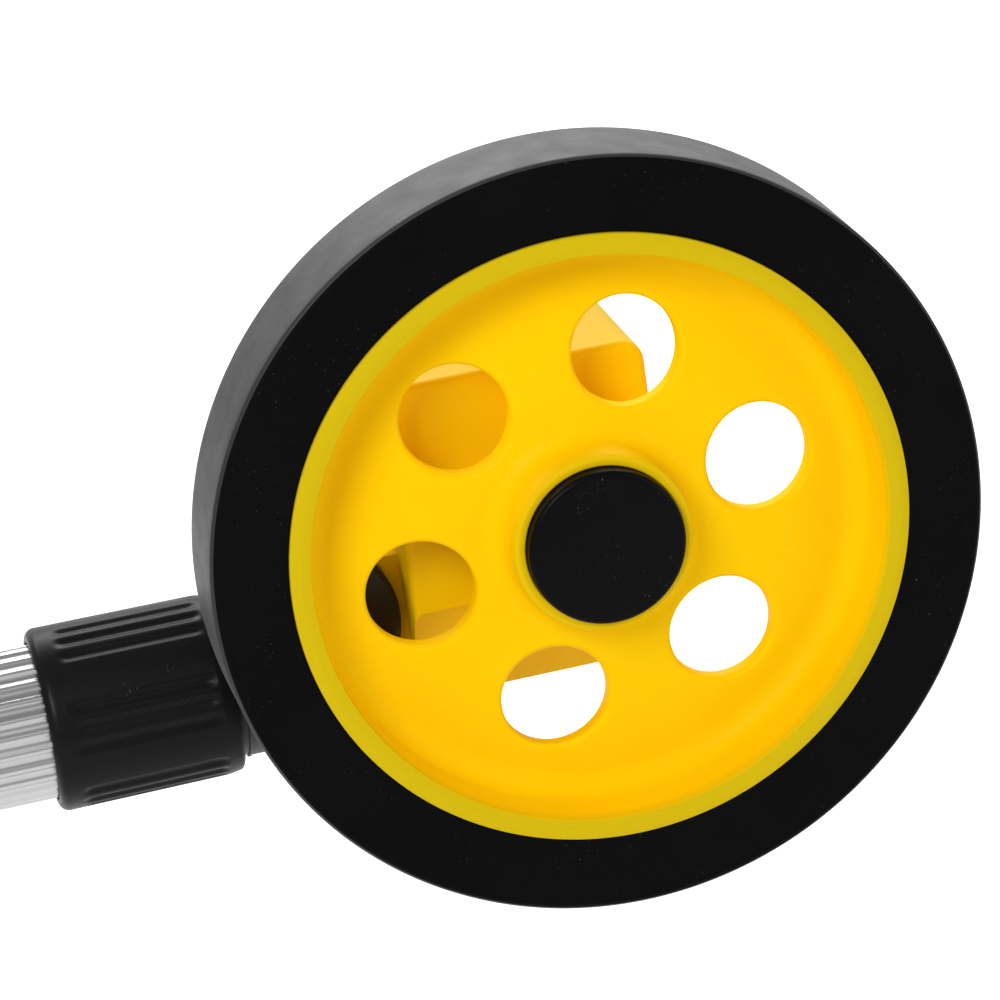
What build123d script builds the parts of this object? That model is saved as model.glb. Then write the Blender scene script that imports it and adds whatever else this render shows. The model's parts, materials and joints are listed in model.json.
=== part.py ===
from build123d import *
from math import acos, atan2, cos, degrees, hypot, pi, radians, sin
import os

# Telescopic measuring wheel with its pole retracted.
# X runs along the pole towards the wheel, Y runs along the axle away from the wheel's outer face, Z is up.
# The origin is the middle of the hand grip, on the pole's axis. Lengths are in millimetres.

# ---- Wheel ----
wheel_circumference = 500.0
tyre_radius = wheel_circumference / (2 * pi)
tyre_width = 23.8
rim_radius = 63.9
rim_proud = 0.96
lip_inner_radius = 59.5
dish_wall_radius = 58.2
web_depth = 10.4
web_slope = 0.136
web_slope_radius = 36.8
web_thickness = 4.0
hole_count = 6
hole_radius = 11.1
hole_circle_radius = 36.95
hole_phase = 11.0
boss_radius = 18.4
boss_proud = 1.2
cap_radius = 16.15
cap_proud = 4.7
cap_seat_depth = 3.0
key_depth = 1.6
hub_width = 23.4
rear_boss_radius = 14.0
rib_thickness = 2.4
rib_setback = 1.5
hole_rounding = 1.4
axle_radius = 4.0
axle_tail_radius = 3.0
axle_screw_radius = 2.0
washer_thickness = 1.2
clip_thickness = 0.7
clip_bore = axle_tail_radius - 0.6

# ---- Where things stand ----
reach = 418.0
pole_depth = 45.0
pole_drop = 30.2
wheel_front = -pole_depth
hinge_x = reach - 57.0
hinge_z = pole_drop - 18.0
axle_nose = wheel_front + cap_seat_depth
axle_step = -15.8
axle_tail = 19.0
clip_depth = 13.0

# ---- Counter housing ----
housing_left = reach - 36.0
housing_right = reach + 19.0
housing_top = pole_drop + 32.0
housing_bottom = pole_drop - 42.0
housing_front = -20.0
housing_back = 22.0
housing_corner = 5.0
edge_rounding = 2.0
wall = 2.6
window_y = -1.0
window_width = 27.0
window_height = 15.0
bezel_thickness = 2.0
bush_radius = 6.5
bush_end = -16.0
rear_bush_radius = 6.0
rear_bush_start = 14.4
slope_top = pole_drop - 18.0
slope_back = -5.0
tongue_half = 8.6
tongue_radius = 17.6
tongue_heel_radius = 13.0
screw_radius = 1.5
screw_head_radius = 2.9
screw_seat = 19.8
screw_inset = 5.7
screw_points = [
    (x, z)
    for x in (housing_left + screw_inset, housing_right - screw_inset)
    for z in (housing_bottom + screw_inset, housing_top - screw_inset)
]
boss_wall_radius = 3.4
button_radius = 6.0
button_x = reach - 10.0
button_z = pole_drop - 24.0
button_travel = 2.5
stem_radius = 2.1
post_radius = 5.5
post_top = 5.0
spring_radius = 3.6
spring_wire = 0.4
spring_turns = 5

# ---- Counter ----
running = 0.05
gear_module = 0.8
drive_teeth = 12
idler_teeth = 18
input_teeth = 24
transfer_teeth = 20
pinion_teeth = 8
drum_count = 5
drum_radius = 9.9
drum_face = 3.6
drum_pitch = 5.2
ring_width = 1.2
first_drum = -13.4
drum_x = reach - 21.8
drum_z = pole_drop + 10.0
drum_shaft_radius = 2.0
pinion_shaft_radius = 1.0
idler_stud_radius = 1.5
gear_start = -15.6
gear_width = 1.8
frame_front = housing_front + wall
frame_sheet = 1.2
frame_back = 11.6

# ---- Fold hinge ----
cheek_radius = 19.2
fork_half = 14.5
slot_half = 9.0
hinge_bolt_radius = 4.0
bolt_head_radius = 7.0
bolt_head_back = -11.0
bolt_end = 22.0
knob_radius = 14.0
knob_start = 17.0
knob_height = 9.0
knob_lobes = 6

# ---- Pole ----
flute_count = 28
tube_stop = hinge_x - 23.0
collar_left = hinge_x - 56.5
collar_right = hinge_x - 17.4
fork_left = hinge_x - 16.0
slot_bottom = hinge_x - 15.5
socket_radius = 16.35
collar_radius = 19.3
collar_taper = 0.25
collar_bore = 17.5
groove_groups = 6
group_phase = 12.0
groove_spacing = 12.3
nut_ribs = 20
tube_length = 220.0
lower_radius, lower_bore = 16.25, 14.4
middle_radius, middle_bore = 13.6, 12.1
upper_radius, upper_bore = 11.6, 10.2
lower_left = tube_stop - tube_length
middle_left = lower_left - 36.0
middle_right = tube_stop - 6.0
upper_right = tube_stop - 12.0
grip_half = 60.0
grip_end = -74.0
grip_radius = 17.0
grip_waves = 5
core_radius = 13.2
core_left = -56.0
upper_left = -54.0
strap_x = -69.0
strap_tab = 8.0
strap_hole_radius = 2.5


def across(y):
    """Plane square to the axle at a given depth, with local x along X and local y along Z."""
    return Plane.XZ.offset(-y)


def disc(centre, start, end, radius, bore=0, mode=Mode.ADD):
    """Round plate or ring between two depths, its axis along Y."""
    with BuildSketch(across(start)) as face:
        with Locations(centre):
            Circle(radius)
            if bore:
                Circle(bore, mode=Mode.SUBTRACT)
    extrude(face.sketch, amount=start - end, mode=mode)


def sleeve(start, end, radius, bore=0, mode=Mode.ADD):
    """Round bar or tube along the pole, its axis along X."""
    with BuildSketch(Plane.YZ.offset(start)) as face:
        Circle(radius)
        if bore:
            Circle(bore, mode=Mode.SUBTRACT)
    extrude(face.sketch, amount=end - start, mode=mode)


def turned(plane, axis, corners):
    """Solid of revolution. Each corner is a radius, a place along the axis and the rounding there."""
    with BuildSketch(plane) as profile:
        with BuildLine():
            points = [corner[:2] for corner in corners]
            FilletPolyline(*points, radius=[corner[2] for corner in corners], close=True)
        make_face()
    revolve(profile.sketch, axis=axis)


def wheel_turned(corners):
    """Turned part on the axle. Places along the axis are depths behind the wheel's outer face."""
    section = Plane(origin=(reach, wheel_front, pole_drop))
    turned(section, Axis((reach, 0, pole_drop), (0, 1, 0)), corners)


def pole_turned(corners):
    """Turned part on the pole. Corners are given as a place along X, a radius and the rounding there."""
    turned(Plane.XY, Axis.X, corners)


def fluted_tube(start, end, radius, bore, depth):
    """Tube along the pole with rounded flutes all round its outside."""
    half_width = 0.36 * 2 * pi * radius / flute_count
    flute_radius = (half_width**2 + depth**2) / (2 * depth)
    with BuildSketch(Plane.YZ.offset(start)) as section:
        Circle(radius)
        with PolarLocations(radius - depth + flute_radius, flute_count):
            Circle(flute_radius, mode=Mode.SUBTRACT)
        Circle(bore, mode=Mode.SUBTRACT)
    extrude(section.sketch, amount=end - start)


def grip_grooves(start, end, radius, groove_radius, angles):
    """Cuts lengthwise grooves into a round part on the pole. Angles are measured from -Y towards +Z."""
    with BuildSketch(Plane.YZ.offset(start)) as cutters:
        for angle in angles:
            turn = radians(angle)
            with Locations((-radius * cos(turn), radius * sin(turn))):
                Circle(groove_radius)
    extrude(cutters.sketch, amount=end - start, mode=Mode.SUBTRACT)


def web_front(radius):
    """Depth of the hub web's outer face at a radius."""
    return web_depth + web_slope * (radius - web_slope_radius)


def gear(centre, teeth, start, end, phase, bore):
    """Spur gear on an axis along Y. The phase is the direction of one tooth, from +X towards +Z."""
    pitch_radius = gear_module * teeth / 2
    root = pitch_radius - gear_module
    tip = pitch_radius + 0.75 * gear_module
    outline = ((root, -0.28), (tip, -0.12), (tip, 0.12), (root, 0.28))
    points = []
    for tooth in range(teeth):
        for radius, share in outline:
            turn = radians(phase + (tooth + share) * 360 / teeth)
            points.append((centre[0] + radius * cos(turn), centre[1] + radius * sin(turn)))
    with BuildSketch(across(start)) as face:
        with BuildLine():
            Polyline(*points, close=True)
        make_face()
        with Locations(centre):
            Circle(bore, mode=Mode.SUBTRACT)
    extrude(face.sketch, amount=start - end)


def mesh_phase(teeth, phase, follower_teeth, line):
    """Phase that puts a follower in mesh with a gear when the line of centres has the given direction."""
    past_tooth = ((line - phase) * teeth / 360) % 1
    return line + 180 - (0.5 - past_tooth) * 360 / follower_teeth


def polar(centre, distance, direction):
    """Point at a distance from a centre, in a direction given in degrees from +X towards +Z."""
    turn = radians(direction)
    return (centre[0] + distance * cos(turn), centre[1] + distance * sin(turn))


axle = (reach, pole_drop)
hinge = (hinge_x, hinge_z)
drums = (drum_x, drum_z)
button = (button_x, button_z)

# The idler sits where both its gears are in mesh, below the line from the axle to the drums.
first_mesh = gear_module * (drive_teeth + idler_teeth) / 2
second_mesh = gear_module * (idler_teeth + input_teeth) / 2
drum_distance = hypot(drum_x - reach, drum_z - pole_drop)
drum_direction = degrees(atan2(drum_z - pole_drop, drum_x - reach))
spread = degrees(
    acos((drum_distance**2 + first_mesh**2 - second_mesh**2) / (2 * drum_distance * first_mesh))
)
idler_direction = drum_direction + spread
idler = polar(axle, first_mesh, idler_direction)
input_direction = degrees(atan2(drum_z - idler[1], drum_x - idler[0]))
pinion_direction = 60.0
pinion_distance = gear_module * (transfer_teeth + pinion_teeth) / 2
pinions = polar(drums, pinion_distance, pinion_direction)
drive_phase = 0.0
idler_phase = mesh_phase(drive_teeth, drive_phase, idler_teeth, idler_direction)
input_phase = mesh_phase(idler_teeth, idler_phase, input_teeth, input_direction)
pinion_phase = mesh_phase(transfer_teeth, 0.0, pinion_teeth, pinion_direction)

# ---- Wheel pieces ----

with BuildPart() as tyre:
    wheel_turned(
        [
            (rim_radius, 0, 0.3),
            (tyre_radius, 0, 1.4),
            (tyre_radius, tyre_width, 1.4),
            (rim_radius, tyre_width, 0.3),
            (rim_radius, tyre_width * 0.66, 0),
            (rim_radius - key_depth, tyre_width * 0.62, 0),
            (rim_radius - key_depth, tyre_width * 0.38, 0),
            (rim_radius, tyre_width * 0.34, 0),
        ]
    )

with BuildPart() as wheel_hub:
    wheel_turned(
        [
            (axle_radius, cap_seat_depth, 0),
            (cap_radius + 0.05, cap_seat_depth, 0),
            (cap_radius + 0.05, -boss_proud, 0.4),
            (boss_radius, -boss_proud, 1.3),
            (boss_radius + 1.2, web_front(boss_radius), 5.5),
            (dish_wall_radius, web_front(dish_wall_radius), 5.0),
            (lip_inner_radius, -0.55, 0.4),
            (lip_inner_radius + 2.4, -rim_proud, 3.0),
            (rim_radius, -0.45, 0.4),
            (rim_radius, tyre_width * 0.34, 0),
            (rim_radius - key_depth, tyre_width * 0.38, 0),
            (rim_radius - key_depth, tyre_width * 0.62, 0),
            (rim_radius, tyre_width * 0.66, 0),
            (rim_radius, hub_width, 0.4),
            (lip_inner_radius, hub_width, 0.4),
            (dish_wall_radius, web_front(dish_wall_radius) + web_thickness, 1.5),
            (rear_boss_radius + 0.5, web_front(rear_boss_radius) + web_thickness, 2.0),
            (rear_boss_radius, hub_width, 0.6),
            (axle_radius, hub_width, 0),
        ]
    )
    # Ribs behind the web, between the holes.
    with BuildSketch(across(wheel_front + hub_width - rib_setback)) as ribs:
        for rib in range(hole_count):
            rib_direction = hole_phase + (rib + 0.5) * 360 / hole_count
            rib_middle = polar(axle, (rear_boss_radius + dish_wall_radius) / 2, rib_direction)
            with Locations(Location((*rib_middle, 0), rib_direction)):
                Rectangle(dish_wall_radius - rear_boss_radius + 1, rib_thickness)
    extrude(ribs.sketch, amount=hub_width - rib_setback - web_depth - web_thickness / 2)
    # Six holes through the web, rounded where they meet its outer face.
    with BuildSketch(across(wheel_front + hub_width)) as holes:
        for hole in range(hole_count):
            with Locations(polar(axle, hole_circle_radius, hole_phase + hole * 360 / hole_count)):
                Circle(hole_radius)
    extrude(holes.sketch, amount=hub_width, mode=Mode.SUBTRACT)
    near_web = wheel_hub.edges().filter_by_position(
        Axis.Y, wheel_front + web_depth - hole_radius * 0.3, wheel_front + web_depth + hole_radius * 0.3
    )
    hole_edges = [
        edge
        for edge in near_web
        if abs(hypot(edge.center().X - reach, edge.center().Z - pole_drop) - hole_circle_radius) < 1
        and edge.center().Y < wheel_front + web_depth + web_thickness / 2
    ]
    fillet(hole_edges, radius=hole_rounding)

with BuildPart() as hub_cap:
    inner_skirt = cap_radius - 1.6
    wheel_turned(
        [
            (0, -cap_proud, 0),
            (cap_radius, -cap_proud + 0.35, 1.3),
            (cap_radius, cap_seat_depth, 0),
            (inner_skirt, cap_seat_depth, 0),
            (inner_skirt, -cap_proud + 1.9, 0.5),
            (0, -cap_proud + 1.9, 0),
        ]
    )

with BuildPart() as axle_washer:
    disc(axle, axle_nose - washer_thickness, axle_nose, 8.0, bore=axle_screw_radius)

with BuildPart() as axle_screw:
    head_back = axle_nose - washer_thickness
    head_front = head_back - 2.6
    disc(axle, head_front, head_back, 4.2)
    fillet(axle_screw.edges().group_by(Axis.Y)[0], radius=0.8)
    disc(axle, head_back, axle_nose + 9.0, axle_screw_radius)
    with BuildSketch(across(head_front)) as hex_socket:
        with Locations(axle):
            RegularPolygon(radius=1.7, side_count=6)
    extrude(hex_socket.sketch, amount=-1.6, mode=Mode.SUBTRACT)

with BuildPart() as axle_shaft:
    disc(axle, axle_nose, axle_step, axle_radius)
    disc(axle, axle_step, axle_tail, axle_tail_radius)
    disc(axle, wheel_front + hub_width, wheel_front + hub_width + 0.7, 7.5)
    disc(axle, axle_nose, axle_nose + 9.0, axle_screw_radius, mode=Mode.SUBTRACT)
    disc(axle, clip_depth, clip_depth + clip_thickness, axle_radius, bore=clip_bore, mode=Mode.SUBTRACT)

with BuildPart() as axle_clip:
    disc(axle, clip_depth, clip_depth + clip_thickness, axle_tail_radius + 1.9, bore=clip_bore)
    with BuildSketch(across(clip_depth)) as clip_gap:
        with Locations((reach, pole_drop + axle_radius)):
            Rectangle(2.6, 2 * axle_radius)
    extrude(clip_gap.sketch, amount=-clip_thickness, mode=Mode.SUBTRACT)

with BuildPart() as drive_gear:
    gear(axle, drive_teeth, gear_start, gear_start + gear_width, drive_phase, axle_tail_radius)
    disc(axle, gear_start + gear_width, gear_start + gear_width + 3.0, 5.4, bore=axle_tail_radius)

# ---- Counter housing pieces ----


def cut_slope(setback=0):
    """Cuts away what lies below and in front of the housing's sloped lower face."""
    rise = slope_top - housing_bottom
    run = slope_back - housing_front
    below = 40.0
    shift = setback * hypot(rise, run) / rise
    corners = [
        (housing_front - below + shift, slope_top + below * rise / run),
        (slope_back + below + shift, housing_bottom - below * rise / run),
        (housing_front - 3 * below, housing_bottom - below * rise / run),
        (housing_front - 3 * below, slope_top + below * rise / run),
    ]
    with BuildSketch(Plane.YZ.offset(housing_left - wall)) as prism:
        with BuildLine():
            Polyline(*corners, close=True)
        make_face()
    extrude(prism.sketch, amount=housing_right - housing_left + 2 * wall, mode=Mode.SUBTRACT)


def housing_profile(inset):
    """Block with the housing's side outline, drawn in by an inset on every side."""
    middle = ((housing_left + housing_right) / 2, (housing_top + housing_bottom) / 2)
    with BuildSketch(across(housing_front + inset)) as outline:
        with Locations(middle):
            RectangleRounded(
                housing_right - housing_left - 2 * inset,
                housing_top - housing_bottom - 2 * inset,
                housing_corner - inset,
            )
    extrude(outline.sketch, amount=housing_front - housing_back + 2 * inset)


def window_cut():
    """Opening for the counter's window in the wall that faces the hand grip."""
    with BuildSketch(Plane.YZ.offset(housing_left - 1)) as opening:
        with Locations((window_y, drum_z)):
            Rectangle(window_width, window_height)
    extrude(opening.sketch, amount=wall + 2, mode=Mode.SUBTRACT)


with BuildPart() as housing_solid:
    housing_profile(0)
    cut_slope()
    rounded = housing_solid.edges().group_by(Axis.Y)
    fillet(rounded[0] + rounded[-1], radius=edge_rounding)
    # Tongue of the fold hinge: a small heel towards the pole and a wider shoulder towards the housing.
    with BuildSketch(across(-tongue_half)) as tongue:
        with Locations(hinge):
            Circle(tongue_radius)
        with Locations((hinge_x + 11 - tongue_radius, hinge_z)):
            Rectangle(2 * tongue_radius, 3 * tongue_radius, mode=Mode.SUBTRACT)
        with Locations(hinge):
            Circle(tongue_heel_radius)
        with Locations(((hinge_x + 5 + housing_left + wall / 2) / 2, hinge_z - 2.5)):
            Rectangle(housing_left + wall / 2 - hinge_x - 5, 27)
        with Locations(hinge):
            Circle(hinge_bolt_radius + running, mode=Mode.SUBTRACT)
    extrude(tongue.sketch, amount=-2 * tongue_half)

with BuildPart() as housing_cavity:
    housing_profile(wall)
    cut_slope(wall)

with BuildPart() as front_shell:
    add(housing_solid.part)
    split(bisect_by=Plane.XZ, keep=Keep.TOP)
    add(housing_cavity.part, mode=Mode.SUBTRACT)
    for point in screw_points:
        disc(point, housing_front + wall / 2, 0, boss_wall_radius)
    disc(button, housing_front + wall / 2, post_top, post_radius)
    disc(axle, housing_front + wall / 2, bush_end - 0.2, bush_radius + 2.0)
    cut_slope(0.6)
    for point in screw_points:
        disc(point, -5.0, 0, screw_radius, mode=Mode.SUBTRACT)
    disc(button, post_top - 8.0, post_top, stem_radius + running, mode=Mode.SUBTRACT)
    disc(axle, housing_front, bush_end, bush_radius, mode=Mode.SUBTRACT)
    window_cut()

with BuildPart() as rear_shell:
    add(housing_solid.part)
    split(bisect_by=Plane.XZ, keep=Keep.BOTTOM)
    add(housing_cavity.part, mode=Mode.SUBTRACT)
    for point in screw_points:
        disc(point, 0, housing_back - wall / 2, boss_wall_radius)
        disc(point, 0, housing_back, screw_radius, mode=Mode.SUBTRACT)
        disc(point, screw_seat, housing_back, screw_head_radius + 0.1, mode=Mode.SUBTRACT)
    disc(axle, rear_bush_start, housing_back - wall / 2, rear_bush_radius + 2.0)
    disc(axle, rear_bush_start, housing_back - wall, rear_bush_radius, mode=Mode.SUBTRACT)
    disc(button, housing_back - wall, housing_back, button_radius + 0.3, mode=Mode.SUBTRACT)
    window_cut()

with BuildPart() as front_bush:
    disc(axle, housing_front, bush_end, bush_radius, bore=axle_radius + running)
    disc(axle, housing_front - 0.6, housing_front, bush_radius + 2.0, bore=axle_radius + running)

with BuildPart() as rear_bush:
    disc(axle, rear_bush_start, housing_back - wall, rear_bush_radius, bore=axle_tail_radius + running)

with BuildPart() as window_bezel:
    with BuildSketch(Plane.YZ.offset(housing_left - bezel_thickness)) as bezel_outline:
        with Locations((window_y, drum_z)):
            RectangleRounded(window_width + 6, window_height + 6, 2.5)
            RectangleRounded(window_width - 1, window_height - 1, 1.0, mode=Mode.SUBTRACT)
    extrude(bezel_outline.sketch, amount=bezel_thickness)
    chamfer(window_bezel.faces().sort_by(Axis.X)[0].edges(), length=0.6)

with BuildPart() as counter_window:
    with BuildSketch(Plane.YZ.offset(housing_left)) as pane:
        with Locations((window_y, drum_z)):
            Rectangle(window_width, window_height)
    extrude(pane.sketch, amount=1.4)

with BuildPart() as housing_screws:
    for point in screw_points:
        disc(point, -5.0, screw_seat, screw_radius)
        disc(point, screw_seat, screw_seat + 1.8, screw_head_radius)
        with BuildSketch(across(screw_seat + 1.8)) as cross_recess:
            with Locations(point):
                Rectangle(3.2, 0.8)
                Rectangle(0.8, 3.2)
        extrude(cross_recess.sketch, amount=1.0, mode=Mode.SUBTRACT)

with BuildPart() as reset_button:
    disc(button, housing_back - wall - 1.5, housing_back - wall - 0.1, button_radius + 1.5)
    disc(button, housing_back - wall - 0.1, housing_back + button_travel + 0.7, button_radius - 0.1)
    fillet(reset_button.edges().group_by(Axis.Y)[-1], radius=1.0)
    disc(button, post_top - 3.5, housing_back - wall - 1.5, stem_radius)

with BuildPart() as reset_spring:
    spring_length = housing_back - wall - 1.5 - post_top
    with BuildLine() as coil:
        Helix(
            pitch=(spring_length - 2.2 * spring_wire) / spring_turns,
            height=spring_length - 2.2 * spring_wire,
            radius=spring_radius,
            center=(button_x, post_top + 1.1 * spring_wire, button_z),
            direction=(0, 1, 0),
        )
    with BuildSketch(Plane(origin=coil.line @ 0, z_dir=coil.line % 0)) as wire:
        Circle(spring_wire)
    sweep(wire.sketch, path=coil.line, is_frenet=True)

# ---- Counter pieces ----

with BuildPart() as counter_frame:
    frame_left = housing_left + 9.6
    frame_right = reach - 8.8
    frame_top = housing_top - wall - 2.0
    frame_low = pole_drop - 8.0
    with BuildSketch(across(frame_front)) as front_plate:
        with Locations(((frame_left + frame_right) / 2, (frame_low + frame_top) / 2)):
            Rectangle(frame_right - frame_left, frame_top - frame_low)
    extrude(front_plate.sketch, amount=-frame_sheet)
    with BuildSketch(across(frame_front)) as strip:
        with Locations(((frame_left + frame_right - 4) / 2, frame_top - frame_sheet / 2)):
            Rectangle(frame_right - frame_left - 4, frame_sheet)
    extrude(strip.sketch, amount=frame_front - frame_back - frame_sheet)
    with BuildSketch(across(frame_back)) as back_plate:
        with Locations(((frame_left + frame_right - 4) / 2, (drum_z - 5 + frame_top) / 2)):
            Rectangle(frame_right - frame_left - 4, frame_top - drum_z + 5)
    extrude(back_plate.sketch, amount=-frame_sheet)
    for centre, radius in ((drums, drum_shaft_radius), (pinions, pinion_shaft_radius), (idler, idler_stud_radius)):
        disc(centre, frame_front, frame_back + frame_sheet, radius, mode=Mode.SUBTRACT)

with BuildPart() as drum_shaft:
    disc(drums, frame_front, frame_back + frame_sheet, drum_shaft_radius)
    disc(drums, frame_back + frame_sheet, frame_back + frame_sheet + 0.8, drum_shaft_radius + 1.0)

with BuildPart() as pinion_shaft:
    disc(pinions, frame_front, frame_back + frame_sheet, pinion_shaft_radius)
    disc(pinions, frame_back + frame_sheet, frame_back + frame_sheet + 0.8, pinion_shaft_radius + 0.6)

with BuildPart() as idler_stud:
    disc(idler, frame_front, gear_start + gear_width + 0.2, idler_stud_radius)
    disc(idler, gear_start + gear_width + 0.2, gear_start + gear_width + 0.9, idler_stud_radius + 1.1)

with BuildPart() as idler_gear:
    gear(idler, idler_teeth, gear_start, gear_start + gear_width, idler_phase, idler_stud_radius + running)

drum_bore = drum_shaft_radius + running
digit_drums = []
transfer_pinions = []
for place in range(drum_count):
    face_start = first_drum + place * drum_pitch
    with BuildPart() as digit_drum:
        disc(drums, face_start, face_start + drum_face, drum_radius, bore=drum_bore)
        disc(drums, face_start + 1.4, face_start + drum_face, drum_radius - 1.6, bore=4.0, mode=Mode.SUBTRACT)
        if place == 0:
            gear(drums, input_teeth, gear_start, gear_start + gear_width, input_phase, drum_bore)
            disc(drums, gear_start + gear_width, face_start, 5.0, bore=drum_bore)
        else:
            gear(drums, transfer_teeth, face_start - ring_width, face_start, 0, drum_bore)
    digit_drums.append(digit_drum)
    if place > 0:
        with BuildPart() as transfer_pinion:
            pinion_start = face_start - ring_width - 0.1
            gear(pinions, pinion_teeth, pinion_start, pinion_start + 1.0, pinion_phase, pinion_shaft_radius + running)
        transfer_pinions.append(transfer_pinion)

# ---- Fold hinge pieces ----

with BuildPart() as pole_socket:
    with BuildSketch(across(-fork_half)) as fork:
        with Locations((fork_left + 6.5, 0)):
            Rectangle(11, 2 * socket_radius)
        with Locations(hinge):
            Circle(cheek_radius)
        make_hull()
        with Locations((fork_left - cheek_radius, 0)):
            Rectangle(2 * cheek_radius, 6 * cheek_radius, mode=Mode.SUBTRACT)
    extrude(fork.sketch, amount=-2 * fork_half)
    with BuildSketch(Plane.YZ.offset(fork_left)) as underside:
        with Locations((0, -cheek_radius)):
            Rectangle(2 * cheek_radius, 2 * cheek_radius)
        Circle(socket_radius, mode=Mode.SUBTRACT)
    cheek_rims = pole_socket.edges().group_by(Axis.Y)
    fillet(cheek_rims[0] + cheek_rims[-1], radius=1.6)
    extrude(underside.sketch, amount=3 * cheek_radius, mode=Mode.SUBTRACT)
    sleeve(collar_left + 9, tube_stop, lower_radius + 1.15, bore=lower_radius)
    sleeve(tube_stop, collar_right - 0.5, lower_radius + 1.15)
    sleeve(collar_right - 0.5, fork_left, socket_radius - 0.6)
    sleeve(fork_left, fork_left + 5, socket_radius)
    with BuildSketch(Plane.YZ.offset(slot_bottom)) as slot:
        Rectangle(2 * slot_half, 5 * cheek_radius)
    extrude(slot.sketch, amount=3 * cheek_radius, mode=Mode.SUBTRACT)
    disc(hinge, -fork_half, fork_half, hinge_bolt_radius, mode=Mode.SUBTRACT)
    disc(hinge, -fork_half, bolt_head_back, bolt_head_radius, mode=Mode.SUBTRACT)

with BuildPart() as hinge_bolt:
    disc(hinge, bolt_head_back - 2.6, bolt_head_back, bolt_head_radius)
    disc(hinge, bolt_head_back - 2.6, bolt_end, hinge_bolt_radius)
    with BuildSketch(across(bolt_head_back - 2.6)) as bolt_hex:
        with Locations(hinge):
            RegularPolygon(radius=2.9, side_count=6)
    extrude(bolt_hex.sketch, amount=-1.8, mode=Mode.SUBTRACT)

with BuildPart() as hinge_cap:
    disc(hinge, -fork_half - 0.4, bolt_head_back - 2.6, bolt_head_radius)
    fillet(hinge_cap.edges().group_by(Axis.Y)[0], radius=0.5)

with BuildPart() as friction_washers:
    disc(hinge, -slot_half, -slot_half + 0.3, 11.0, bore=hinge_bolt_radius)
    disc(hinge, slot_half - 0.3, slot_half, 11.0, bore=hinge_bolt_radius)

with BuildPart() as hinge_knob:
    with BuildSketch(across(knob_start)) as knob_outline:
        with Locations(hinge):
            Circle(knob_radius)
            with PolarLocations(knob_radius + 3.2, knob_lobes):
                Circle(5.0, mode=Mode.SUBTRACT)
        fillet(knob_outline.vertices(), radius=1.2)
    extrude(knob_outline.sketch, amount=-knob_height)
    fillet(hinge_knob.faces().sort_by(Axis.Y)[-1].edges(), radius=1.2)
    disc(hinge, knob_start, bolt_end + 1.0, hinge_bolt_radius + running, mode=Mode.SUBTRACT)

# ---- Pole pieces ----

with BuildPart() as socket_collar:
    pole_turned(
        [
            (collar_left, lower_radius + 0.45, 0),
            (collar_left, collar_radius, 2.0),
            (collar_right, collar_radius - collar_taper, 1.4),
            (collar_right, collar_bore, 0),
            (collar_left + 3.5, collar_bore, 0),
            (collar_left + 3.5, lower_radius + 0.45, 0),
        ]
    )
    collar_angles = [
        group_phase + group * 360 / groove_groups + step * groove_spacing
        for group in range(groove_groups)
        for step in (-1, 0, 1)
    ]
    grip_grooves(collar_left + 5.5, collar_right - 4.0, collar_radius + 1.3, 2.0, collar_angles)

with BuildPart() as lower_tube:
    fluted_tube(lower_left, tube_stop, lower_radius, lower_bore, 0.6)

with BuildPart() as middle_tube:
    fluted_tube(middle_left, middle_right, middle_radius, middle_bore, 0.5)

with BuildPart() as upper_tube:
    fluted_tube(upper_left, upper_right, upper_radius, upper_bore, 0.45)


def lock_sleeve(tube_end, tube_radius, inner_radius, wrap):
    """Threaded sleeve on a tube's mouth with the jaw that grips the tube inside it."""
    bore = inner_radius + running
    sleeve(tube_end, tube_end + wrap, tube_radius + 1.3, bore=tube_radius)
    sleeve(tube_end - 2, tube_end, tube_radius + 1.3, bore=bore)
    sleeve(tube_end - 12, tube_end - 2, inner_radius + 1.6, bore=bore)


def lock_nut(left, right, bore, mouth, thickness):
    """Ribbed nut that closes the jaw. The mouth is the radius of the opening for the inner tube."""
    outer = bore + thickness
    pole_turned(
        [
            (left, mouth, 0),
            (left, outer, 1.2),
            (right, outer, 1.2),
            (right, bore, 0),
            (left + 3, bore, 0),
            (left + 3, mouth, 0),
        ]
    )
    nut_angles = [rib * 360 / nut_ribs for rib in range(nut_ribs)]
    grip_grooves(left + 4.5, right - 3.5, outer + 0.4, 1.1, nut_angles)


with BuildPart() as lower_lock_sleeve:
    lock_sleeve(lower_left, lower_radius, middle_radius, 14)

with BuildPart() as lower_lock_nut:
    lock_nut(lower_left - 17, lower_left + 16, lower_radius + 1.45, middle_radius + 0.6, 1.9)

with BuildPart() as upper_lock_sleeve:
    lock_sleeve(middle_left, middle_radius, upper_radius, 12)

with BuildPart() as upper_lock_nut:
    lock_nut(middle_left - 16, middle_left + 15, middle_radius + 1.45, upper_radius + 0.6, 1.9)

with BuildPart() as middle_guide:
    sleeve(middle_right - 12, middle_right, lower_bore - running, bore=middle_radius)
    sleeve(middle_right, middle_right + 1.5, lower_bore - running, bore=middle_bore + 0.2)

with BuildPart() as upper_guide:
    sleeve(upper_right - 12, upper_right, middle_bore - running, bore=upper_radius)
    sleeve(upper_right, upper_right + 1.5, middle_bore - running, bore=upper_bore + 0.2)

# ---- Hand grip pieces ----

with BuildPart() as grip_core:
    sleeve(core_left, grip_half - 3, core_radius, bore=upper_radius)
    sleeve(grip_half - 3, grip_half, grip_radius + 0.6, bore=upper_radius)
    fillet(grip_core.edges().filter_by(GeomType.CIRCLE).group_by(SortBy.RADIUS)[-1], radius=0.9)

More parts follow.
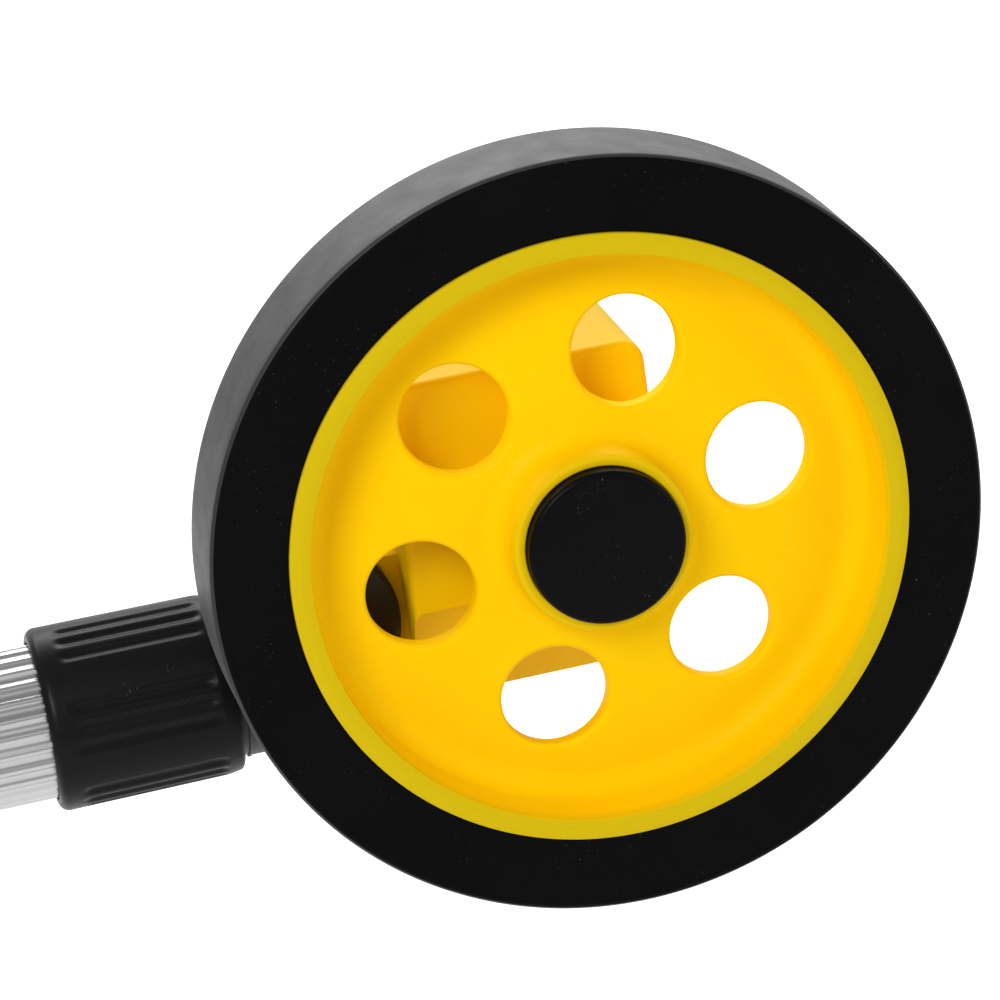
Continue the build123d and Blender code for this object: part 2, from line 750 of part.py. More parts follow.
with BuildPart() as grip_sleeve:
    swell = [(core_left, core_radius, 0), (core_left, grip_radius - 0.6, 1.5)]
    for wave in range(grip_waves):
        wave_length = (grip_half - 3 - core_left) / grip_waves
        wave_start = core_left + wave * wave_length
        swell.append((wave_start + wave_length * 0.30, grip_radius, 20))
        swell.append((wave_start + wave_length * 0.80, grip_radius - 1.3, 20))
    swell.append((grip_half - 3, grip_radius - 0.4, 0))
    swell.append((grip_half - 3, core_radius, 0))
    pole_turned(swell)

with BuildPart() as grip_end_cap:
    pole_turned(
        [
            (core_left + 12, 0, 0),
            (core_left + 12, upper_bore, 0.8),
            (upper_left, upper_bore, 0),
            (upper_left, upper_radius, 0),
            (core_left, upper_radius, 0),
            (core_left, grip_radius - 0.2, 0.8),
            (core_left - 8, grip_radius - 0.8, 3.5),
            (core_left - 9.5, 0, 0),
        ]
    )
    with BuildSketch(across(-strap_tab / 2)) as tab:
        with Locations((strap_x, 0)):
            Circle(strap_x - grip_end)
        with Locations((strap_x + 5, 0)):
            Rectangle(10, 2 * (strap_x - grip_end))
        with Locations((strap_x, 0)):
            Circle(strap_hole_radius, mode=Mode.SUBTRACT)
    extrude(tab.sketch, amount=-strap_tab)

# ---- Named pieces ----

pieces = {
    "tyre": tyre,
    "wheel_hub": wheel_hub,
    "hub_cap": hub_cap,
    "axle_washer": axle_washer,
    "axle_screw": axle_screw,
    "axle_shaft": axle_shaft,
    "axle_clip": axle_clip,
    "drive_gear": drive_gear,
    "front_shell": front_shell,
    "rear_shell": rear_shell,
    "front_bush": front_bush,
    "rear_bush": rear_bush,
    "window_bezel": window_bezel,
    "counter_window": counter_window,
    "housing_screws": housing_screws,
    "reset_button": reset_button,
    "reset_spring": reset_spring,
    "counter_frame": counter_frame,
    "drum_shaft": drum_shaft,
    "pinion_shaft": pinion_shaft,
    "idler_stud": idler_stud,
    "idler_gear": idler_gear,
    "pole_socket": pole_socket,
    "hinge_bolt": hinge_bolt,
    "hinge_cap": hinge_cap,
    "friction_washers": friction_washers,
    "hinge_knob": hinge_knob,
    "socket_collar": socket_collar,
    "lower_tube": lower_tube,
    "lower_lock_sleeve": lower_lock_sleeve,
    "lower_lock_nut": lower_lock_nut,
    "middle_tube": middle_tube,
    "middle_guide": middle_guide,
    "upper_lock_sleeve": upper_lock_sleeve,
    "upper_lock_nut": upper_lock_nut,
    "upper_tube": upper_tube,
    "upper_guide": upper_guide,
    "grip_core": grip_core,
    "grip_sleeve": grip_sleeve,
    "grip_end_cap": grip_end_cap,
}
for place, digit_drum in enumerate(digit_drums, start=1):
    pieces[f"digit_drum_{place}"] = digit_drum
for place, transfer_pinion in enumerate(transfer_pinions, start=1):
    pieces[f"transfer_pinion_{place}"] = transfer_pinion

os.makedirs("parts", exist_ok=True)
for name, piece in pieces.items():
    piece.part.label = name
    export_step(piece.part, f"parts/{name}.step")
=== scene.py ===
"""Looks of a telescopic measuring wheel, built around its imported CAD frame.

Shapes are worked out in millimetres.
"""

import json
import math

import bmesh
import bpy
from mathutils import Matrix, Vector, noise


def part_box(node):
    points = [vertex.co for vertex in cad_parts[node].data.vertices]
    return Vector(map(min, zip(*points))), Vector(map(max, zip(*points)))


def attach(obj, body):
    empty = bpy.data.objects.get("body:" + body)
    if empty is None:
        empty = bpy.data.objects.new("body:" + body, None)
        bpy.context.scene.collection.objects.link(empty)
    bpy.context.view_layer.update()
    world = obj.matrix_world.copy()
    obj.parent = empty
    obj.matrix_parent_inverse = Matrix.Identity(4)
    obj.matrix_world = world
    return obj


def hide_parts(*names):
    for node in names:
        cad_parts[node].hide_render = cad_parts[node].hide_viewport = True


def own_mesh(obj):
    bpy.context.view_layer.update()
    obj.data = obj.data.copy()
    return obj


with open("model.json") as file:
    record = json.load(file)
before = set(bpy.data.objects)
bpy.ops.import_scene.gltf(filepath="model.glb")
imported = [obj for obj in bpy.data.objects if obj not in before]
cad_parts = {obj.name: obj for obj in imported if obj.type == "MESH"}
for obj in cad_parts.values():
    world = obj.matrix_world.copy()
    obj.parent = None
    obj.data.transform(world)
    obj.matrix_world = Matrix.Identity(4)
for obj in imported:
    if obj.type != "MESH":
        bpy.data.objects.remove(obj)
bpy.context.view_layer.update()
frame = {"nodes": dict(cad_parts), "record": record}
nodes = frame["nodes"]
MM = 0.001


def span(node):
    """Lowest and highest corner of a CAD node in millimetres."""
    low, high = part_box(node)
    return low / MM, high / MM


# ---- Where the CAD says things stand ----
tyre_low, tyre_high = span("tyre")
axle_x = (tyre_low.x + tyre_high.x) / 2
axle_z = (tyre_low.z + tyre_high.z) / 2
wheel_face = tyre_low.y
tyre_radius = (tyre_high.x - tyre_low.x) / 2
tyre_width = tyre_high.y - tyre_low.y
rim_radius = (span("wheel_hub")[1].x - span("wheel_hub")[0].x) / 2
hub_width = span("wheel_hub")[1].y - wheel_face
cap_radius = (span("hub_cap")[1].x - span("hub_cap")[0].x) / 2
cap_proud = wheel_face - span("hub_cap")[0].y

# ---- The hub's own measures ----
RIM_PROUD = 0.96
LIP_INNER = 59.5
DISH_WALL = 58.2
BOSS_RADIUS = 18.4
BOSS_PROUD = 1.2
BOSS_FOOT = 19.6
CAP_SEAT = 3.0
WEB_AT_BOSS = 7.9
WEB_SLOPE = 0.1402
WEB_THICKNESS = 4.0
REAR_BOSS = 14.0
AXLE_RADIUS = 4.0
HOLES = 6
HOLE_RADIUS = 11.1
HOLE_CIRCLE = 36.95
HOLE_PHASE = math.radians(11.0)
HOLE_ROUNDING = 1.4
HOLE_REAR_EDGE = 0.35
WEB_INNER = 24.2
WEB_OUTER = 51.0
RIB_HALF = 1.2
RIB_ROUNDING = 0.5
RIB_SETBACK = 1.5


def lerp(a, b, t):
    return a + (b - a) * t


def smooth(t):
    """0 below 0, 1 above 1, and a smooth step between."""
    t = min(max(t, 0.0), 1.0)
    return t * t * (3 - 2 * t)


def rounded(corners, steps=6, closed=True):
    """Outline with arcs at its corners.

    Each corner is two coordinates, such as a radius and a place along the axis, and the rounding there.
    """
    points = []
    count = len(corners)
    for i, (x, y, rounding) in enumerate(corners):
        at_end = not closed and i in (0, count - 1)
        if rounding <= 0 or at_end:
            points.append((x, y))
            continue
        here = Vector((x, y))
        back = Vector(corners[i - 1][:2]) - here
        ahead = Vector(corners[(i + 1) % count][:2]) - here
        half = back.angle(ahead) / 2
        reach = min(rounding / math.tan(half), back.length * 0.98, ahead.length * 0.98)
        bend = reach * math.tan(half)
        centre = here + (back.normalized() + ahead.normalized()).normalized() * (bend / math.sin(half))
        start = here + back.normalized() * reach - centre
        end = here + ahead.normalized() * reach - centre
        turn = start.angle_signed(end)
        for k in range(steps + 1):
            spoke = start.copy()
            spoke.rotate(Matrix.Rotation(-turn * k / steps, 2))
            points.append(tuple(centre + spoke))
    return points


def finer(outline, longest):
    """The same closed outline with its long straight stretches divided."""
    points = []
    for i, corner in enumerate(outline):
        a = Vector(corner)
        b = Vector(outline[(i + 1) % len(outline)])
        parts = max(1, math.ceil((b - a).length / longest))
        points += [tuple(a.lerp(b, k / parts)) for k in range(parts)]
    return points


def on_wheel(radius, depth, turn):
    """Point at a depth behind the wheel's outer face. The turn is from +X towards +Z."""
    return Vector((axle_x + radius * math.cos(turn), wheel_face + depth, axle_z + radius * math.sin(turn)))


def on_pole(radius, along, turn):
    """Point round the pole's axis. The turn is from -Y towards +Z."""
    return Vector((along, -radius * math.cos(turn), radius * math.sin(turn)))


class Shape:
    """Points in millimetres and faces, gathered for one piece."""

    def __init__(self):
        self.points = []
        self.faces = []

    def grid(self, rows, close_rows=False, close_columns=False):
        """Faces between rows of points that all have the same number of points."""
        first = len(self.points)
        across = len(rows[0])
        for row in rows:
            self.points += row
        for i in range(len(rows) if close_rows else len(rows) - 1):
            for j in range(across if close_columns else across - 1):
                a = first + i * across
                b = first + (i + 1) % len(rows) * across
                k = (j + 1) % across
                self.faces.append((a + j, a + k, b + k, b + j))

    def lathe(self, outline, segments, place, closed=True):
        """Outline of (radius, place along the axis) turned all the way round."""
        turns = [2 * math.pi * k / segments for k in range(segments)]
        rows = [[place(r, along, turn) for turn in turns] for r, along in outline]
        self.grid(rows, close_rows=closed, close_columns=True)

    def finish(self, name, body, material, slot, replaced=(), sharp=38.0):
        """The piece as a smooth shaded object that rides on its body."""
        mesh = bpy.data.meshes.new(name)
        mesh.from_pydata([p * MM for p in self.points], [], self.faces)
        work = bmesh.new()
        work.from_mesh(mesh)
        bmesh.ops.remove_doubles(work, verts=work.verts, dist=2e-7)
        flat = [f for f in work.faces if f.calc_area() < 1e-14]
        bmesh.ops.delete(work, geom=flat, context="FACES_ONLY")
        bmesh.ops.recalc_face_normals(work, faces=work.faces)
        work.to_mesh(mesh)
        work.free()
        return place_piece(mesh, name, body, material, slot, replaced, sharp)


def place_piece(mesh, name, body, material, slot, replaced=(), sharp=38.0):
    """An object for a finished mesh, riding on its body and standing for its CAD nodes."""
    mesh.polygons.foreach_set("use_smooth", [True] * len(mesh.polygons))
    mesh.set_sharp_from_angle(angle=math.radians(sharp))
    piece = bpy.data.objects.new(name, mesh)
    bpy.context.scene.collection.objects.link(piece)
    mesh.materials.append(material)
    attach(piece, body)
    if replaced:
        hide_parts(*replaced)
    return piece


# ---- Materials ----


class Nodes:
    """Short way to wire a material's node tree."""

    def __init__(self, name):
        self.material = bpy.data.materials.new(name)
        self.material.use_nodes = True
        self.tree = self.material.node_tree
        self.shader = self.tree.nodes["Principled BSDF"]
        self.place = self.add("ShaderNodeTexCoord").outputs["Object"]

    def add(self, kind, **settings):
        node = self.tree.nodes.new(kind)
        for key, value in settings.items():
            setattr(node, key, value)
        return node

    def link(self, output, socket):
        self.tree.links.new(output, socket)

    def noise(self, scale, detail=3.0, rough=0.55, stretch=(1, 1, 1)):
        """Noise of about one lump per 1/scale metres, stretched along the axes."""
        mapping = self.add("ShaderNodeMapping")
        mapping.inputs["Scale"].default_value = stretch
        self.link(self.place, mapping.inputs["Vector"])
        texture = self.add("ShaderNodeTexNoise")
        texture.inputs["Scale"].default_value = scale
        texture.inputs["Detail"].default_value = detail
        texture.inputs["Roughness"].default_value = rough
        self.link(mapping.outputs["Vector"], texture.inputs["Vector"])
        return texture.outputs["Fac"]

    def range(self, value, low, high, to_low=0.0, to_high=1.0):
        """The value's stretch from low to high, clamped and mapped to new limits."""
        node = self.add("ShaderNodeMapRange")
        for socket, number in zip(
            ("From Min", "From Max", "To Min", "To Max"), (low, high, to_low, to_high)
        ):
            node.inputs[socket].default_value = number
        self.link(value, node.inputs["Value"])
        return node.outputs["Result"]

    def maths(self, operation, a, b):
        node = self.add("ShaderNodeMath", operation=operation)
        for socket, value in zip(node.inputs, (a, b)):
            if isinstance(value, (int, float)):
                socket.default_value = value
            else:
                self.link(value, socket)
        return node.outputs["Value"]

    def mix(self, factor, a, b):
        """Colour that goes from a to b."""
        node = self.add("ShaderNodeMix", data_type="RGBA")
        self.link(factor, node.inputs["Factor"])
        for socket, value in zip((node.inputs[6], node.inputs[7]), (a, b)):
            if isinstance(value, (tuple, list)):
                socket.default_value = (*value[:3], 1.0)
            else:
                self.link(value, socket)
        return node.outputs[2]

    def edges(self, radius):
        """1 on outer edges tighter than a radius in metres, 0 on flat faces."""
        bevel = self.add("ShaderNodeBevel", samples=4)
        bevel.inputs["Radius"].default_value = radius
        geometry = self.add("ShaderNodeNewGeometry")
        dot = self.add("ShaderNodeVectorMath", operation="DOT_PRODUCT")
        self.link(bevel.outputs["Normal"], dot.inputs[0])
        self.link(geometry.outputs["Normal"], dot.inputs[1])
        return self.range(dot.outputs["Value"], 0.97, 0.75)

    def band(self, low, high):
        """1 between two distances from the axle in millimetres, 0 outside, with a short soft edge."""
        parts = self.add("ShaderNodeSeparateXYZ")
        self.link(self.place, parts.inputs["Vector"])
        x = self.maths("SUBTRACT", parts.outputs["X"], axle_x * MM)
        z = self.maths("SUBTRACT", parts.outputs["Z"], axle_z * MM)
        squares = self.maths("ADD", self.maths("MULTIPLY", x, x), self.maths("MULTIPLY", z, z))
        radius = self.maths("SQRT", squares, 0.0)
        inside = self.range(radius, (low - 0.3) * MM, (low + 0.3) * MM)
        outside = self.range(radius, (high - 0.3) * MM, (high + 0.3) * MM, 1.0, 0.0)
        return self.maths("MULTIPLY", inside, outside)

    def bump(self, heights):
        """Bumps added up. Each is a height field and its depth in metres."""
        normal = None
        for height, depth in heights:
            node = self.add("ShaderNodeBump")
            node.inputs["Strength"].default_value = 1.0
            node.inputs["Distance"].default_value = depth
            self.link(height, node.inputs["Height"])
            if normal:
                self.link(normal, node.inputs["Normal"])
            normal = node.outputs["Normal"]
        self.link(normal, self.shader.inputs["Normal"])


def finish_material(
    name,
    colour,
    shade,
    roughness,
    metallic=0.0,
    specular=0.5,
    grain=(1500.0, 2e-6),
    ripple=(45.0, 2e-5),
    stretch=(1, 1, 1),
    wear=None,
    specks=0.0,
    scratches=0.0,
    sheen=0.0,
    glow=0.0,
    shade_bands=(),
    painted_shade_colour=None,
):
    """Surface with colour drift, mottled gloss, fine grain and ripples.

    It can have worn edges, specks, scratches and rings of painted shade round the axle: a darker colour
    that stands in for light. The shade bands give each ring's two radii in millimetres and its share of
    that colour.
    """
    m = Nodes(name)
    drift = m.range(m.noise(28.0, 3.0), 0.3, 0.7)
    tone = m.mix(drift, colour, shade)
    fine = m.noise(grain[0], 2.0, stretch=stretch)
    mottle = m.noise(150.0, 4.0, stretch=stretch)
    rough = m.range(mottle, 0.25, 0.75, roughness[0], roughness[1])
    if specks:
        dust = m.range(m.noise(2600.0, 1.0, 0.4), 0.735, 0.78)
        patch = m.range(m.noise(70.0, 2.0), 0.45, 0.7)
        amount = m.maths("MULTIPLY", m.maths("MULTIPLY", dust, patch), specks)
        tone = m.mix(amount, tone, (0.32, 0.31, 0.3))
    if scratches:
        lines = m.range(m.noise(90.0, 2.0, 0.6, stretch=(1, 14, 9)), 0.64, 0.7)
        other = m.range(m.noise(110.0, 2.0, 0.6, stretch=(12, 8, 1)), 0.66, 0.72)
        marks = m.maths("MAXIMUM", lines, other)
        rough = m.maths("ADD", rough, m.maths("MULTIPLY", marks, scratches))
    if wear:
        rubbed = m.maths("MULTIPLY", m.edges(0.0006), m.range(m.noise(220.0, 4.0), 0.35, 0.65))
        tone = m.mix(rubbed, tone, wear)
    # Painted shade: rings round the axle take a darker colour in place of the light they miss
    for low, high, share in shade_bands:
        shade_zone = m.maths("MULTIPLY", m.band(low, high), share)
        tone = m.mix(shade_zone, tone, painted_shade_colour)
    m.link(tone, m.shader.inputs["Base Color"])
    m.link(rough, m.shader.inputs["Roughness"])
    m.shader.inputs["Metallic"].default_value = metallic
    m.shader.inputs["Specular IOR Level"].default_value = specular
    if sheen:
        m.shader.inputs["Sheen Weight"].default_value = sheen
        m.shader.inputs["Sheen Roughness"].default_value = 0.4
    if glow:
        m.shader.inputs["Subsurface Weight"].default_value = glow
        m.shader.inputs["Subsurface Radius"].default_value = (1.0, 0.6, 0.1)
        m.shader.inputs["Subsurface Scale"].default_value = 0.0012
    m.bump([(m.noise(ripple[0], 2.0), ripple[1]), (fine, grain[1])])
    return m.material


YELLOW = (0.94, 0.59, 0.0015)
YELLOW_SHADE = (0.92, 0.56, 0.001)
HOUSING = (0.99, 0.66, 0.002)
HOUSING_SHADE = (0.97, 0.62, 0.0015)
# Painted shade: the lip and the boss's front ring get a darker, greener yellow because they lack the light
# bounced round the dish
LIP_PAINTED_SHADE = (0.62, 0.45, 0.005)
BOSS_SHADE_INNER = 15.0
LIP_SHADE_OUTER = 70.0
looks = {
    "tyre_rubber": finish_material(
        "tyre_rubber", (0.0018, 0.0018, 0.0019), (0.0027, 0.0027, 0.0028), (0.5, 0.66),
        specular=0.04, grain=(2200.0, 9e-6), ripple=(60.0, 3e-5), specks=0.6, sheen=0.06,
    ),
    # The tread's base colour, about eight times lighter than the side's, is partly scuffed wear and partly
    # painted reflection of the bright backdrop at grazing angles
    "tyre_tread": finish_material(
        "tyre_tread", (0.014, 0.014, 0.0142), (0.019, 0.019, 0.0192), (0.48, 0.62),
        specular=0.42, grain=(1500.0, 1.2e-5), ripple=(60.0, 3e-5), specks=0.4, sheen=0.06,
    ),
    # The shade bands paint shade on the hub's lip and on the boss's front ring
    "hub_yellow": finish_material(
        "hub_yellow", YELLOW, YELLOW_SHADE, (0.36, 0.46),
        specular=0.025, grain=(1900.0, 1.5e-6), ripple=(35.0, 1.5e-5), scratches=0.03, glow=0.12,
        shade_bands=((BOSS_SHADE_INNER, BOSS_RADIUS + 0.3, 0.5), (LIP_INNER, LIP_SHADE_OUTER, 1.0)),
        painted_shade_colour=LIP_PAINTED_SHADE,
    ),
    "cap_black": finish_material(
        "cap_black", (0.0022, 0.0022, 0.0028), (0.0034, 0.0034, 0.0042), (0.3, 0.42),
        specular=0.06, grain=(2400.0, 2.5e-6), ripple=(55.0, 2e-5), specks=0.35, scratches=0.2,
    ),
    "zinc_steel": finish_material(
        "zinc_steel", (0.66, 0.66, 0.64), (0.55, 0.56, 0.56), (0.26, 0.42),
        metallic=1.0, grain=(1800.0, 3e-6), wear=(0.8, 0.8, 0.78),
    ),
    "steel": finish_material(
        "steel", (0.56, 0.57, 0.58), (0.48, 0.49, 0.5), (0.2, 0.34),
        metallic=1.0, grain=(1500.0, 3e-6), stretch=(5, 1, 5),
    ),
    "spring_steel": finish_material(
        "spring_steel", (0.42, 0.42, 0.44), (0.34, 0.34, 0.36), (0.25, 0.4), metallic=1.0,
    ),
    "acetal": finish_material(
        "acetal", (0.84, 0.83, 0.79), (0.78, 0.77, 0.72), (0.35, 0.5), specular=0.4, glow=0.1,
    ),
    "housing_yellow": finish_material(
        "housing_yellow", HOUSING, HOUSING_SHADE, (0.38, 0.5),
        specular=0.05, grain=(1300.0, 7e-6), ripple=(40.0, 2e-5),
        wear=(1.0, 0.72, 0.08), scratches=0.05, glow=0.1,
    ),
    "bronze": finish_material(
        "bronze", (0.6, 0.42, 0.2), (0.5, 0.34, 0.16), (0.34, 0.5), metallic=1.0, grain=(3000.0, 6e-6),
    ),
    "gloss_black": finish_material(
        "gloss_black", (0.008, 0.008, 0.009), (0.011, 0.011, 0.012), (0.16, 0.28), wear=(0.05, 0.05, 0.05),
    ),
    "button_black": finish_material(
        "button_black", (0.014, 0.014, 0.015), (0.02, 0.02, 0.021), (0.34, 0.48), wear=(0.06, 0.06, 0.06),
    ),
    "moulded_black": finish_material(
        "moulded_black", (0.010, 0.010, 0.011), (0.015, 0.015, 0.016), (0.36, 0.5),
        specular=0.35, grain=(1400.0, 8e-6), wear=(0.045, 0.045, 0.047),
    ),
    "nylon_washer": finish_material(
        "nylon_washer", (0.7, 0.69, 0.66), (0.62, 0.61, 0.58), (0.4, 0.55), specular=0.4,
    ),
    "knob_black": finish_material(
        "knob_black", (0.011, 0.011, 0.012), (0.016, 0.016, 0.017), (0.38, 0.52),
        specular=0.4, grain=(1300.0, 9e-6), wear=(0.05, 0.05, 0.052),
    ),
    "collar_black": finish_material(
        "collar_black", (0.005, 0.005, 0.0053), (0.0075, 0.0075, 0.008), (0.3, 0.4),
        specular=0.1, grain=(1700.0, 4e-6), ripple=(70.0, 3e-5), specks=0.3, scratches=0.15,
    ),
    "tube_aluminium": finish_material(
        "tube_aluminium", (0.58, 0.58, 0.59), (0.54, 0.54, 0.55), (0.24, 0.34),
        metallic=1.0, grain=(2600.0, 4e-6), ripple=(30.0, 1e-5), stretch=(0.02, 1, 1),
    ),
    "grip_rubber": finish_material(
        "grip_rubber", (0.012, 0.012, 0.0125), (0.019, 0.019, 0.0195), (0.58, 0.74),
        specular=0.3, grain=(1100.0, 2e-5), ripple=(70.0, 4e-5), specks=0.5, sheen=0.15,
    ),
    "drum_black": finish_material(
        "drum_black", (0.012, 0.012, 0.013), (0.016, 0.016, 0.017), (0.4, 0.5), specular=0.4,
    ),
    "drum_red": finish_material(
        "drum_red", (0.55, 0.02, 0.014), (0.48, 0.016, 0.011), (0.4, 0.5), specular=0.4,
    ),
    "digit_white": finish_material(
        "digit_white", (0.86, 0.86, 0.84), (0.8, 0.8, 0.77), (0.45, 0.6), specular=0.3,
    ),
}


def clear_pane():
    """Clear acrylic with faint smears."""
    m = Nodes("window_clear")
    smears = m.range(m.noise(160.0, 4.0, stretch=(1, 3, 1)), 0.45, 0.75, 0.02, 0.14)
    m.link(smears, m.shader.inputs["Roughness"])
    m.link(m.mix(m.noise(60.0), (0.96, 0.98, 0.98), (0.93, 0.96, 0.97)), m.shader.inputs["Base Color"])
    m.shader.inputs["Transmission Weight"].default_value = 1.0
    m.shader.inputs["IOR"].default_value = 1.49
    m.bump([(m.noise(90.0, 2.0), 4e-6)])
    return m.material


looks["window_clear"] = clear_pane()
slots = {
    part["node"]: part["material_slot"] for part in frame["record"]["subparts"] if part["node"] in nodes
}
body_of = {
    node: body for body, members in frame["record"]["behaviour"]["bodies"].items() for node in members
}
for node, obj in nodes.items():
    for index in range(len(obj.material_slots)):
        obj.material_slots[index].material = looks[slots[node]]


def finish_node(shape, node, **settings):
    """The piece that stands for a CAD node, on the node's body and with its slot's material."""
    return shape.finish(
        node + "_skin", body_of[node], looks[slots[node]], slots[node], replaced=(node,), **settings
    )


# ---- Tyre ----

TYRE_SEGMENTS = 720
TYRE_EDGE = 1.4
TYRE_FOOT = 0.5
TREAD_DEPTH = 0.6
FLASH_HEIGHT = 0.10
FLASH_HALF = 0.16
FLASH_STEP = 0.12
FLASH_RADIUS = tyre_radius - 1.35


def tyre_point(radius, depth, turn):
    """Point of the tyre, with a faint uneven flash where the mould's halves met."""
    point = on_wheel(radius, depth, turn)
    near = math.exp(-(((radius - FLASH_RADIUS) / FLASH_HALF) ** 2))
    outside = depth < 0.4 or depth > tyre_width - 0.4
    if near > 0.01 and outside:
        seed = Vector((math.cos(turn), math.sin(turn), 0.3 if depth < 1 else 5.3))
        uneven = 0.35 + 0.65 * noise.noise(seed * 22.0) + 0.5 * noise.noise(seed * 90.0)
        point.y += (-1 if depth < 1 else 1) * FLASH_HEIGHT * near * max(uneven, 0.0)
    return point


tyre_corners = [
    (rim_radius, 0, TYRE_FOOT),
    (tyre_radius, 0, TYRE_EDGE),
    (tyre_radius, tyre_width, TYRE_EDGE),
    (rim_radius, tyre_width, TYRE_FOOT),
]
tyre_outline = finer(rounded(tyre_corners, 8), 2.4)
# On the outer side, five evenly spaced points take the place of those close to the flash
tyre_outline = [p for p in tyre_outline if not (p[1] < 0.01 and abs(p[0] - FLASH_RADIUS) < 0.45)]
past_flash = next(i for i, p in enumerate(tyre_outline) if p[1] < 0.2 and p[0] > FLASH_RADIUS)
tyre_outline[past_flash:past_flash] = [(FLASH_RADIUS + step * FLASH_STEP, 0.0) for step in range(-3, 2)]
tyre = Shape()
tyre.lathe(tyre_outline, TYRE_SEGMENTS, tyre_point)
tyre_piece = finish_node(tyre, "tyre")
tyre_piece.data.materials.append(looks["tyre_tread"])
# Faces on the tread take the lighter tread look, which is partly scuffed wear and partly painted reflection
for face in tyre_piece.data.polygons:
    from_axle = math.hypot(face.center.x / MM - axle_x, face.center.z / MM - axle_z)
    face.material_index = int(from_axle > tyre_radius - TREAD_DEPTH)

# ---- Hub ----

HUB_SEGMENTS = 432
SIDE_STEPS = 22
WEB_STEPS = 9
ROUNDING_STEPS = 8


def web_line(radius):
    """Depth of the web's outer face, without its roundings."""
    return WEB_AT_BOSS + WEB_SLOPE * (radius - BOSS_FOOT)


front_inner = rounded(
    [
        (AXLE_RADIUS, CAP_SEAT, 0),
        (cap_radius + 0.05, CAP_SEAT, 0),
        (cap_radius + 0.05, -BOSS_PROUD, 0.5),
        (BOSS_RADIUS, -BOSS_PROUD, 1.3),
        (BOSS_RADIUS + 1.2, web_line(BOSS_RADIUS + 1.2), 5.5),
        (WEB_OUTER, web_line(WEB_OUTER), 0),
    ],
    14,
    closed=False,
)


def web_front(radius):
    """Depth of the web's outer face, with the rounding at the boss."""
    for a, b in zip(front_inner, front_inner[1:]):
        if a[0] >= BOSS_RADIUS + 0.2 and a[0] <= radius <= b[0]:
            return lerp(a[1], b[1], (radius - a[0]) / (b[0] - a[0]))
    return web_line(radius)


def web_rear(radius):
    return web_line(radius) + WEB_THICKNESS


def sector_edge(start, end):
    """Points (radius, turn) round one sixth of the web, in order."""
    turns = HUB_SEGMENTS // HOLES
    points = [(WEB_OUTER, lerp(start, end, k / turns)) for k in range(turns)]
    points += [(lerp(WEB_OUTER, WEB_INNER, k / SIDE_STEPS), end) for k in range(SIDE_STEPS)]
    points += [(WEB_INNER, lerp(end, start, k / turns)) for k in range(turns)]
    points += [(lerp(WEB_INNER, WEB_OUTER, k / SIDE_STEPS), start) for k in range(SIDE_STEPS)]
    return points


def hole_ring(rim, centre, distance, drop, depth_at, share=0.0):
    """Points at a distance from a hole's centre, or a share of the way from there to the sector's rim."""
    row = []
    for edge in rim:
        flat = centre + (edge - centre).normalized() * distance
        flat = flat.lerp(edge, share)
        row.append(Vector((axle_x + flat.x, wheel_face + depth_at(flat.length) + drop, axle_z + flat.y)))
    return row


hub = Shape()
quarter = [math.radians(90 * k / ROUNDING_STEPS) for k in range(1, ROUNDING_STEPS + 1)]
for hole in range(HOLES):
    middle = HOLE_PHASE + hole * 2 * math.pi / HOLES
    centre = Vector((HOLE_CIRCLE * math.cos(middle), HOLE_CIRCLE * math.sin(middle)))
    rim = []
    for radius, turn in sector_edge(middle - math.pi / HOLES, middle + math.pi / HOLES):
        rim.append(Vector((radius * math.cos(turn), radius * math.sin(turn))))
    outer = HOLE_RADIUS + HOLE_ROUNDING
    rear = HOLE_RADIUS + HOLE_REAR_EDGE
    steps = range(WEB_STEPS + 1)
    rows = [hole_ring(rim, centre, outer, 0, web_front, 1 - k / WEB_STEPS) for k in steps]
    for angle in quarter:
        inward = HOLE_ROUNDING * math.sin(angle)
        down = HOLE_ROUNDING * (1 - math.cos(angle))
        rows.append(hole_ring(rim, centre, outer - inward, down, web_front))
    rows.append(hole_ring(rim, centre, HOLE_RADIUS, -HOLE_REAR_EDGE, web_rear))
    rows += [hole_ring(rim, centre, rear, 0, web_rear, k / WEB_STEPS) for k in steps]
    hub.grid(rows, close_columns=True)

inner_front = [p for p in front_inner if p[0] < WEB_INNER - 0.05 or p[1] < WEB_AT_BOSS - 3]
inner_outline = rounded(
    [
        (WEB_INNER, web_rear(WEB_INNER), 0),
        (REAR_BOSS + 0.5, web_rear(REAR_BOSS), 2.0),
        (REAR_BOSS, hub_width, 0.6),
        (AXLE_RADIUS, hub_width, 0),
    ],
    closed=False,
)
inner_outline += inner_front + [(WEB_INNER, web_front(WEB_INNER))]
hub.lathe(inner_outline, HUB_SEGMENTS, on_wheel, closed=False)
outer_outline = rounded(
    [
        (WEB_OUTER, web_line(WEB_OUTER), 0),
        (DISH_WALL, web_line(DISH_WALL), 5.0),
        (LIP_INNER, -0.55, 0.45),
        (LIP_INNER + 2.4, -RIM_PROUD, 3.0),
        (rim_radius - 0.05, -0.45, 0.4),
        (rim_radius - 0.05, hub_width, 0.5),
        (LIP_INNER, hub_width, 0.5),
        (DISH_WALL, web_rear(DISH_WALL), 1.8),
        (WEB_OUTER, web_rear(WEB_OUTER), 0),
    ],
    10,
    closed=False,
)
hub.lathe(outer_outline, HUB_SEGMENTS, on_wheel, closed=False)


